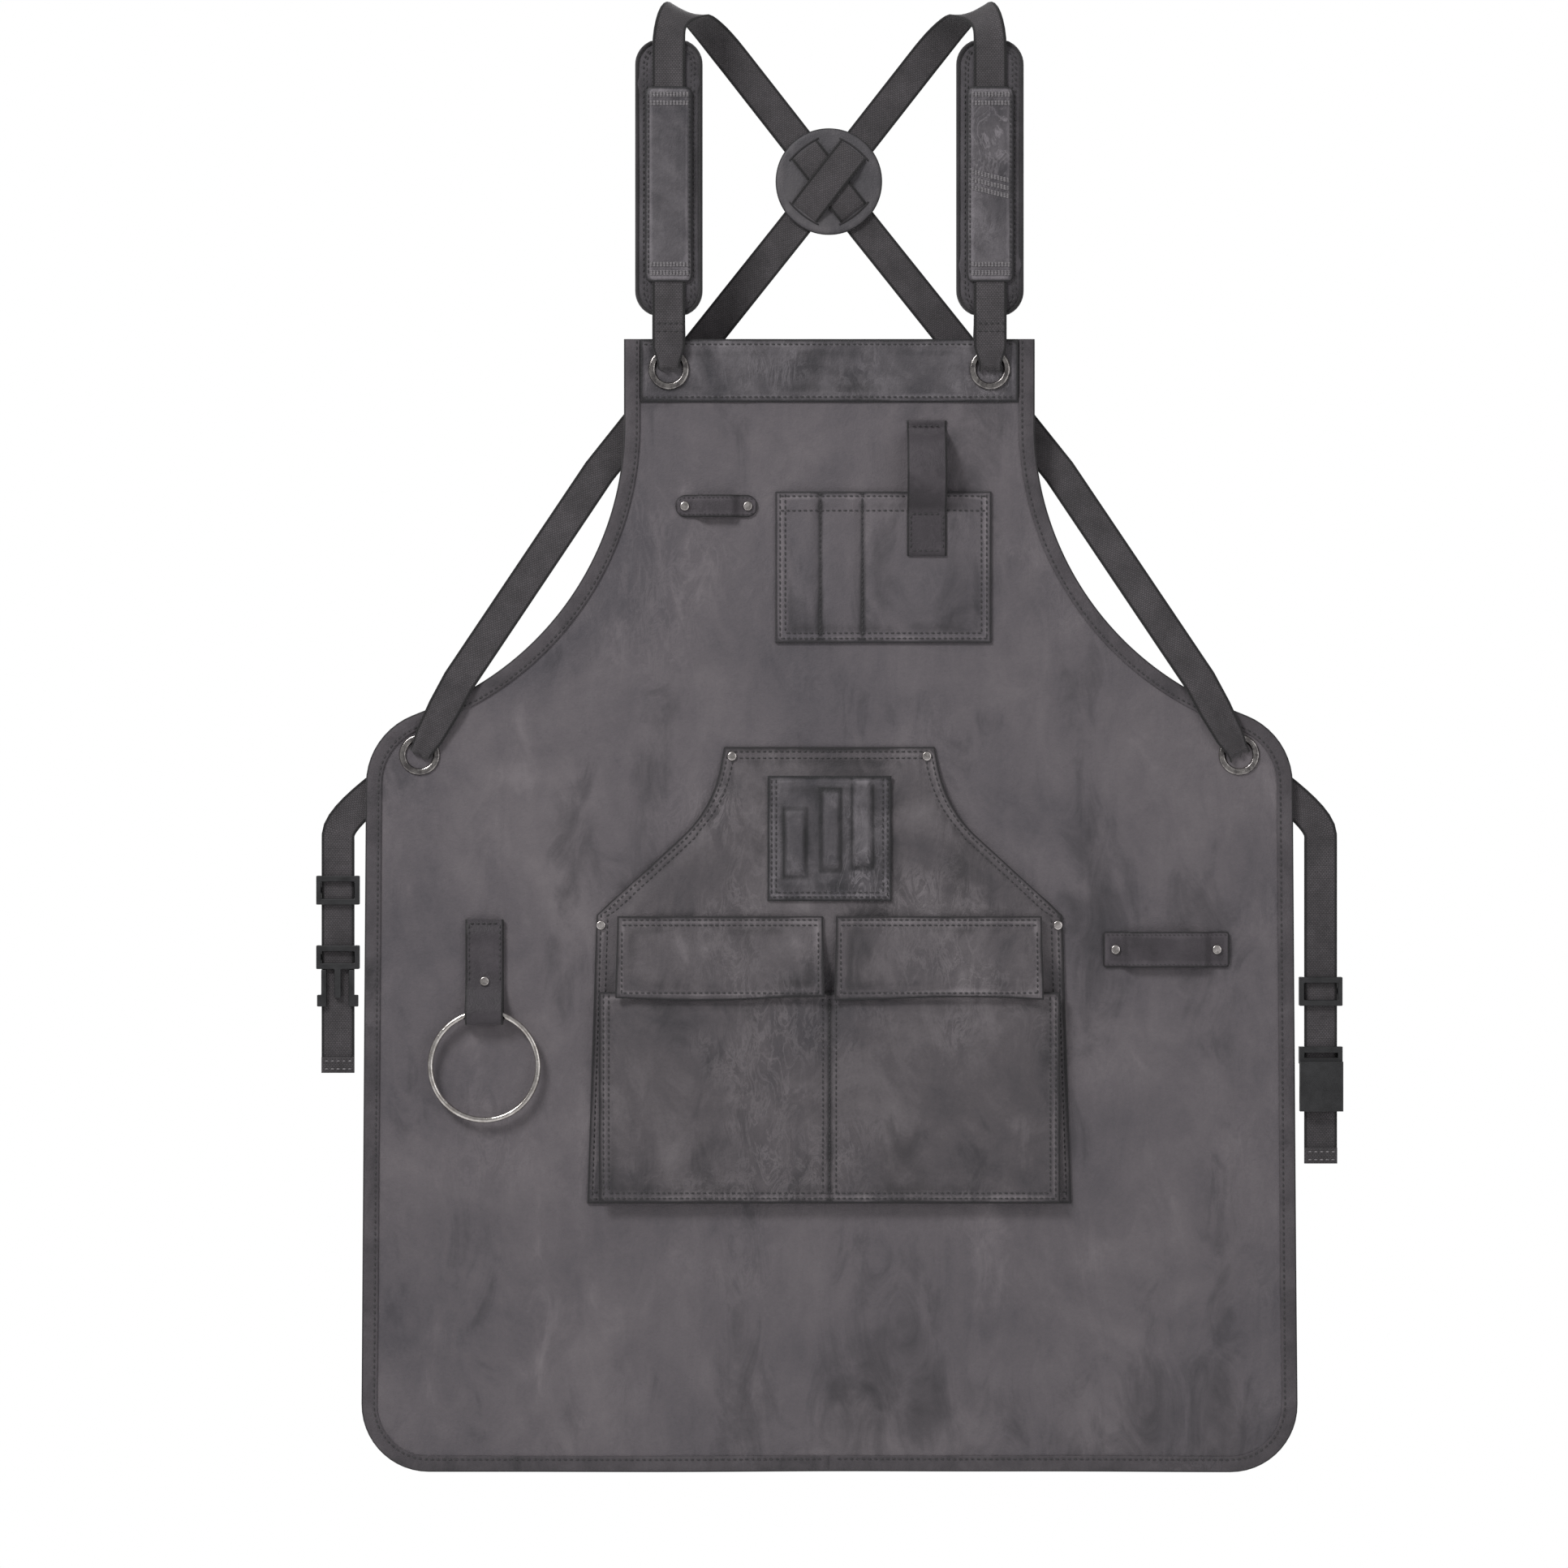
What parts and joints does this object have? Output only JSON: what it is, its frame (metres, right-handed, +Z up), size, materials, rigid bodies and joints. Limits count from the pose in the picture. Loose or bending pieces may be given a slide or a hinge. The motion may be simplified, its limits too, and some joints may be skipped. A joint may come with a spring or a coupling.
{
  "type": "welding apron",
  "caption": "Leather work apron with bib, tool pockets, towel ring and webbing straps that cross at a back disc and buckle at the waist.",
  "frame": {"origin": "centre of the disc where the two back straps cross, in the plate's mid-plane", "axes": "+Z up along the apron, +X to the viewer's right with the front facing the viewer, -Y the apron's front"},
  "size_m": [0.7808, 0.0751, 1.115],
  "materials": {
    "panel_leather": "matte waxed",
    "creased_leather": "satin creased",
    "pocket_leather": "matte waxed",
    "tab_leather": "satin",
    "disc_leather": "satin",
    "edge_tape": "matte",
    "webbing": "woven",
    "pad_cloth": "matte",
    "bright_steel": "polished",
    "eyelet_nickel": "polished",
    "rivet_steel": "satin",
    "black_plastic": "moulded"
  },
  "bodies": {
    "apron": {"apron_panel": "panel_leather", "bib_band": "creased_leather", "binding_left": "edge_tape", "binding_right": "edge_tape", "chest_pocket": "panel_leather", "tool_pocket_base": "pocket_leather", "pen_pocket": "pocket_leather", "lower_pocket_left": "pocket_leather", "lower_pocket_right": "pocket_leather", "flap_seam_left": "pocket_leather", "flap_seam_right": "pocket_leather", "chest_tab": "tab_leather", "hip_tab": "tab_leather", "hammer_loop": "tab_leather", "ring_tab": "tab_leather", "bib_eyelets": "eyelet_nickel", "bib_eyelet_washers": "eyelet_nickel", "hip_eyelets": "eyelet_nickel", "hip_eyelet_washers": "eyelet_nickel", "tool_pocket_rivets": "rivet_steel", "chest_tab_rivets": "rivet_steel", "hip_tab_rivets": "rivet_steel", "ring_tab_rivet": "rivet_steel", "strap_left": "webbing", "strap_right": "webbing", "shoulder_pad_left": "pad_cloth", "shoulder_pad_right": "pad_cloth", "pad_overlay_left": "pocket_leather", "pad_overlay_right": "pocket_leather", "cross_disc": "disc_leather"},
    "flap_left": {"flap_left": "pocket_leather"},
    "flap_right": {"flap_right": "pocket_leather"},
    "ring": {"towel_ring": "bright_steel"},
    "tail_left": {"tail_left": "webbing", "tail_hem_left": "webbing"},
    "tail_right": {"tail_right": "webbing", "tail_hem_right": "webbing"},
    "glide_left": {"tri_glide_left": "black_plastic"},
    "glide_right": {"tri_glide_right": "black_plastic"},
    "plug": {"buckle_plug": "black_plastic"},
    "prong_left": {"buckle_prong_left": "black_plastic"},
    "prong_right": {"buckle_prong_right": "black_plastic"},
    "socket": {"buckle_socket": "black_plastic"}
  },
  "joints": [
    {"name": "flap_left_lift", "type": "hinge", "parent": "apron", "child": "flap_left", "pos_m": [-0.083, -0.0564, -0.5729], "axis": [-1, 0, 0], "range_deg": [0, 150]},
    {"name": "flap_right_lift", "type": "hinge", "parent": "apron", "child": "flap_right", "pos_m": [0.083, -0.0564, -0.5729], "axis": [-1, 0, 0], "range_deg": [0, 150]},
    {"name": "ring_swing", "type": "hinge", "parent": "apron", "child": "ring", "pos_m": [-0.262, -0.05331, -0.639], "axis": [-1, 0, 0], "range_deg": [-3, 85]},
    {"name": "tail_left_swing", "type": "hinge", "parent": "apron", "child": "tail_left", "pos_m": [-0.374, -0.0405, -0.5082], "axis": [1, 0, 0], "range_deg": [-70, 70]},
    {"name": "tail_right_swing", "type": "hinge", "parent": "apron", "child": "tail_right", "pos_m": [0.374, -0.0405, -0.5082], "axis": [1, 0, 0], "range_deg": [-70, 70]},
    {"name": "glide_left_slide", "type": "slide", "parent": "tail_left", "child": "glide_left", "axis": [0, 0, 1], "range_m": [-0.012, 0.015]},
    {"name": "glide_right_slide", "type": "slide", "parent": "tail_right", "child": "glide_right", "axis": [0, 0, 1], "range_m": [-0.008, 0.015]},
    {"name": "plug_slide", "type": "slide", "parent": "tail_left", "child": "plug", "axis": [0, 0, 1], "range_m": [-0.035, 0.012]},
    {"name": "socket_slide", "type": "slide", "parent": "tail_right", "child": "socket", "axis": [0, 0, 1], "range_m": [-0.025, 0.02]},
    {"name": "prong_left_squeeze", "type": "hinge", "parent": "plug", "child": "prong_left", "pos_m": [-0.3845, -0.04345, -0.6045], "axis": [0, -1, 0], "range_deg": [0, 6], "stiffness_Nm_per_rad": 0.02},
    {"name": "prong_right_squeeze", "type": "hinge", "parent": "plug", "child": "prong_right", "pos_m": [-0.3635, -0.04345, -0.6045], "axis": [0, 1, 0], "range_deg": [0, 6], "stiffness_Nm_per_rad": 0.02}
  ],
  "couplings": [
    {"joint": "prong_right_squeeze", "follows": "prong_left_squeeze", "ratio": 1}
  ]
}
